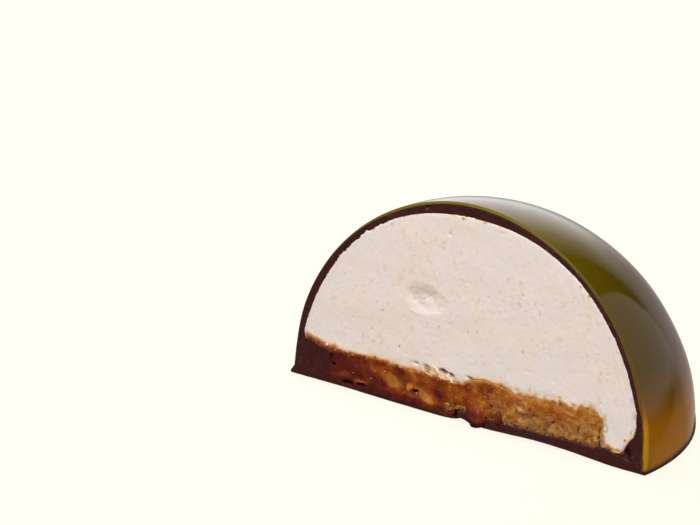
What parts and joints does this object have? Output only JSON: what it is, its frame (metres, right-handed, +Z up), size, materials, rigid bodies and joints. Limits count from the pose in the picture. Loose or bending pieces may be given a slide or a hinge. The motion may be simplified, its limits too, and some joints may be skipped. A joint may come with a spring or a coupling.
{
  "type": "chocolate covered marshmallow",
  "caption": "Cut half of a moulded dome sweet: painted chocolate shell filled with marshmallow over caramel and biscuit on a chocolate base.",
  "frame": {"origin": "where the dome's axis meets the surface that the underside rests on", "axes": "+Z up along the dome's axis, -Y out of the cut face, +X along the cut"},
  "size_m": [0.0612, 0.0347, 0.03],
  "materials": {
    "painted_cocoa_butter": "high gloss, brushed green, olive and amber",
    "dark_chocolate": "fine satin cut",
    "base_chocolate": "satin",
    "whipped_marshmallow": "soft matt, finely pitted and flecked",
    "soft_caramel": "glossy, translucent",
    "baked_biscuit": "rough crumb"
  },
  "bodies": {
    "root": {"coloured_coat": "painted_cocoa_butter", "chocolate_shell": "dark_chocolate", "chocolate_base": "base_chocolate", "marshmallow": "whipped_marshmallow", "caramel": "soft_caramel", "biscuit": "baked_biscuit"}
  },
  "joints": []
}
